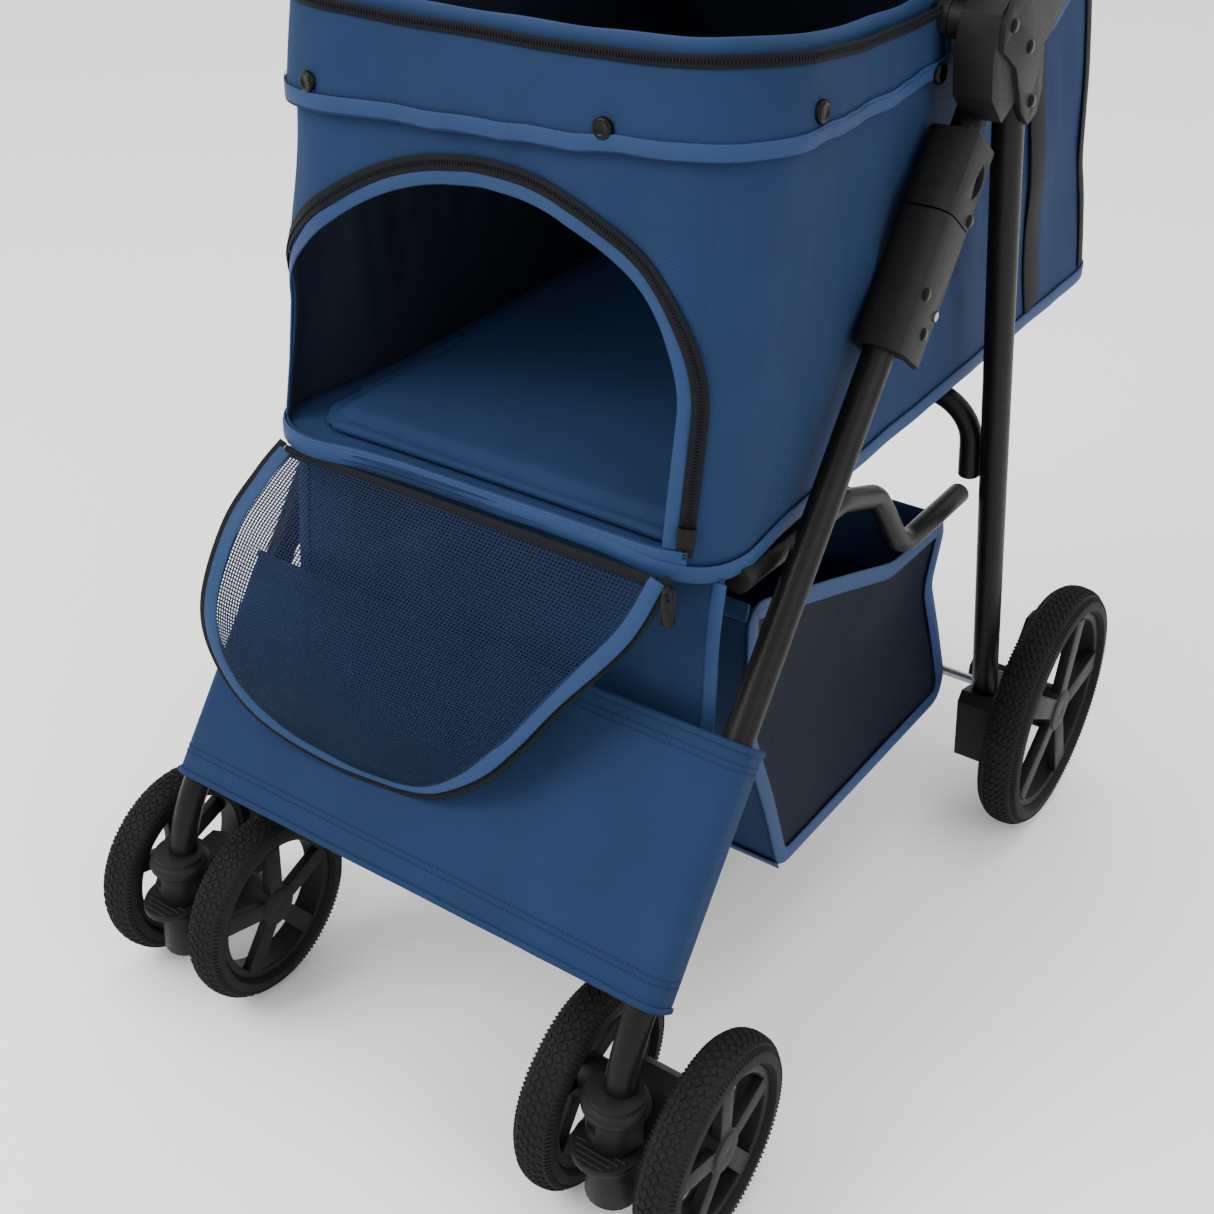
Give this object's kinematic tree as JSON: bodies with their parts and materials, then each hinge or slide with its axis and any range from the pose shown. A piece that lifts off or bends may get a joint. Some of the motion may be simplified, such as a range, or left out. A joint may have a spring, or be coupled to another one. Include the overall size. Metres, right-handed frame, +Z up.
{
  "type": "pet stroller",
  "caption": "Folding pet stroller: tubular frame on twin swivel casters and large rear wheels, fabric cabin with arched mesh door, hood, basket, apron and cup tray.",
  "frame": {"origin": "on the ground, under the middle of the bounding box", "axes": "+Z up; the stroller rolls towards -Y, so the handle is at +Y; +X is the pusher's left"},
  "size_m": [0.498, 0.767, 0.966],
  "materials": {
    "black_tube": "black powder-coated steel tube, satin",
    "black_plastic": "black injection-moulded plastic, fine matt texture",
    "tyre_rubber": "black moulded tyre with a diamond tread",
    "plated_steel": "zinc-plated steel",
    "navy_fabric": "navy woven polyester",
    "navy_mesh": "navy open polyester mesh with woven edge binding",
    "grip_foam": "black closed-cell foam",
    "hardboard": "pressed hardboard"
  },
  "bodies": {
    "front_frame": {"front_leg_left": "black_tube", "leg_casing_left": "black_plastic", "caster_socket_left": "black_plastic", "fold_pivot_pin_left": "plated_steel", "front_leg_right": "black_tube", "leg_casing_right": "black_plastic", "caster_socket_right": "black_plastic", "fold_pivot_pin_right": "plated_steel", "front_cross_tube": "black_tube", "apron": "navy_fabric", "front_panel": "navy_fabric"},
    "push_frame": {"upper_tube_left": "black_tube", "hinge_bracket_left": "plated_steel", "knuckle_left": "black_plastic", "upper_tube_right": "black_tube", "hinge_bracket_right": "plated_steel", "knuckle_right": "black_plastic", "handle_tube": "black_tube", "handle_grip": "grip_foam", "cup_tray": "black_plastic", "rear_canopy_bow": "black_plastic", "canopy_rear": "navy_fabric"},
    "rear_frame": {"rear_leg_left": "black_tube", "axle_housing_left": "black_plastic", "rear_leg_right": "black_tube", "axle_housing_right": "black_plastic", "rear_bow": "black_tube", "rear_axle": "plated_steel"},
    "seat_frame": {"seat_rail_left": "black_tube", "seat_rail_right": "black_tube", "rail_cross_tube": "black_tube", "cabin": "navy_fabric", "floor_board_front": "hardboard", "floor_board_rear": "hardboard", "floor_mat": "navy_fabric", "basket": "navy_mesh"},
    "canopy_bow": {"front_canopy_bow": "black_plastic", "canopy_front": "navy_fabric"},
    "door": {"door_flap": "navy_mesh"},
    "zip": {"zip_pull": "black_plastic"},
    "lock_slider_left": {"lock_slider_left": "black_plastic"},
    "brake_left": {"brake_pedal_left": "black_plastic"},
    "caster_left": {"caster_fork_left": "black_plastic"},
    "swivel_lock_left": {"swivel_lock_left": "black_plastic"},
    "front_outer_wheel_left": {"front_outer_wheel_left_tyre": "tyre_rubber", "front_outer_wheel_left_hub": "black_plastic"},
    "front_inner_wheel_left": {"front_inner_wheel_left_tyre": "tyre_rubber", "front_inner_wheel_left_hub": "black_plastic"},
    "rear_wheel_left": {"rear_wheel_left_tyre": "tyre_rubber", "rear_wheel_left_hub": "black_plastic"},
    "lock_slider_right": {"lock_slider_right": "black_plastic"},
    "brake_right": {"brake_pedal_right": "black_plastic"},
    "caster_right": {"caster_fork_right": "black_plastic"},
    "swivel_lock_right": {"swivel_lock_right": "black_plastic"},
    "front_outer_wheel_right": {"front_outer_wheel_right_tyre": "tyre_rubber", "front_outer_wheel_right_hub": "black_plastic"},
    "front_inner_wheel_right": {"front_inner_wheel_right_tyre": "tyre_rubber", "front_inner_wheel_right_hub": "black_plastic"},
    "rear_wheel_right": {"rear_wheel_right_tyre": "tyre_rubber", "rear_wheel_right_hub": "black_plastic"}
  },
  "joints": [
    {"name": "fold", "type": "hinge", "parent": "front_frame", "child": "push_frame", "pos_m": [0, -0.04616, 0.5363], "axis": [-1, 0, 0], "range_deg": [0, 140], "deforming": ["cabin", "canopy_rear", "canopy_front", "basket", "apron", "front_panel", "floor_mat", "door_flap"]},
    {"name": "rear_leg_fold", "type": "hinge", "parent": "push_frame", "child": "rear_frame", "pos_m": [0, 0.0405, 0.652], "axis": [-1, 0, 0], "range_deg": [-89.2, 0]},
    {"name": "seat_fold", "type": "hinge", "parent": "front_frame", "child": "seat_frame", "pos_m": [0, -0.1615, 0.413], "axis": [-1, 0, 0], "range_deg": [0, 86.6]},
    {"name": "canopy_fold", "type": "hinge", "parent": "push_frame", "child": "canopy_bow", "pos_m": [0, -0.0065, 0.706], "axis": [-1, 0, 0], "range_deg": [0, 35]},
    {"name": "door_fold", "type": "hinge", "parent": "seat_frame", "child": "door", "pos_m": [0, -0.2445, 0.421], "axis": [-1, 0, 0], "range_deg": [0, 160]},
    {"name": "zip_swing", "type": "hinge", "parent": "seat_frame", "child": "zip", "pos_m": [0.15, -0.2553, 0.422], "axis": [-1, 0, 0], "range_deg": [-15, 60]},
    {"name": "lock_slide_left", "type": "slide", "parent": "push_frame", "child": "lock_slider_left", "axis": [0, 0.5707, 0.8212], "range_m": [0, 0.01]},
    {"name": "brake_press_left", "type": "hinge", "parent": "rear_frame", "child": "brake_left", "pos_m": [0.212, 0.2115, 0.098], "axis": [-1, 0, 0], "range_deg": [0, 12]},
    {"name": "caster_swivel_left", "type": "hinge", "parent": "front_frame", "child": "caster_left", "pos_m": [0.188, -0.3505, 0.08], "axis": [0, 0, 1], "continuous": true},
    {"name": "swivel_lock_turn_left", "type": "hinge", "parent": "caster_left", "child": "swivel_lock_left", "pos_m": [0.188, -0.3505, 0.086], "axis": [0, 0, 1], "range_deg": [-20, 20]},
    {"name": "front_outer_wheel_left_roll", "type": "hinge", "parent": "caster_left", "child": "front_outer_wheel_left", "pos_m": [0.2323, -0.3085, 0.075], "axis": [1, 0, 0], "continuous": true},
    {"name": "front_inner_wheel_left_roll", "type": "hinge", "parent": "caster_left", "child": "front_inner_wheel_left", "pos_m": [0.1437, -0.3085, 0.075], "axis": [1, 0, 0], "continuous": true},
    {"name": "rear_wheel_left_roll", "type": "hinge", "parent": "rear_frame", "child": "rear_wheel_left", "pos_m": [0.232, 0.2385, 0.104], "axis": [1, 0, 0], "continuous": true},
    {"name": "lock_slide_right", "type": "slide", "parent": "push_frame", "child": "lock_slider_right", "axis": [0, 0.5707, 0.8212], "range_m": [0, 0.01]},
    {"name": "brake_press_right", "type": "hinge", "parent": "rear_frame", "child": "brake_right", "pos_m": [-0.212, 0.2115, 0.098], "axis": [-1, 0, 0], "range_deg": [0, 12]},
    {"name": "caster_swivel_right", "type": "hinge", "parent": "front_frame", "child": "caster_right", "pos_m": [-0.188, -0.3505, 0.08], "axis": [0, 0, 1], "continuous": true},
    {"name": "swivel_lock_turn_right", "type": "hinge", "parent": "caster_right", "child": "swivel_lock_right", "pos_m": [-0.188, -0.3505, 0.086], "axis": [0, 0, 1], "range_deg": [-20, 20]},
    {"name": "front_outer_wheel_right_roll", "type": "hinge", "parent": "caster_right", "child": "front_outer_wheel_right", "pos_m": [-0.2323, -0.3085, 0.075], "axis": [1, 0, 0], "continuous": true},
    {"name": "front_inner_wheel_right_roll", "type": "hinge", "parent": "caster_right", "child": "front_inner_wheel_right", "pos_m": [-0.1437, -0.3085, 0.075], "axis": [1, 0, 0], "continuous": true},
    {"name": "rear_wheel_right_roll", "type": "hinge", "parent": "rear_frame", "child": "rear_wheel_right", "pos_m": [-0.232, 0.2385, 0.104], "axis": [1, 0, 0], "continuous": true}
  ],
  "couplings": [
    {"joint": "rear_leg_fold", "follows": "fold", "ratio": -0.6364},
    {"joint": "seat_fold", "follows": "fold", "ratio": 0.6179}
  ]
}
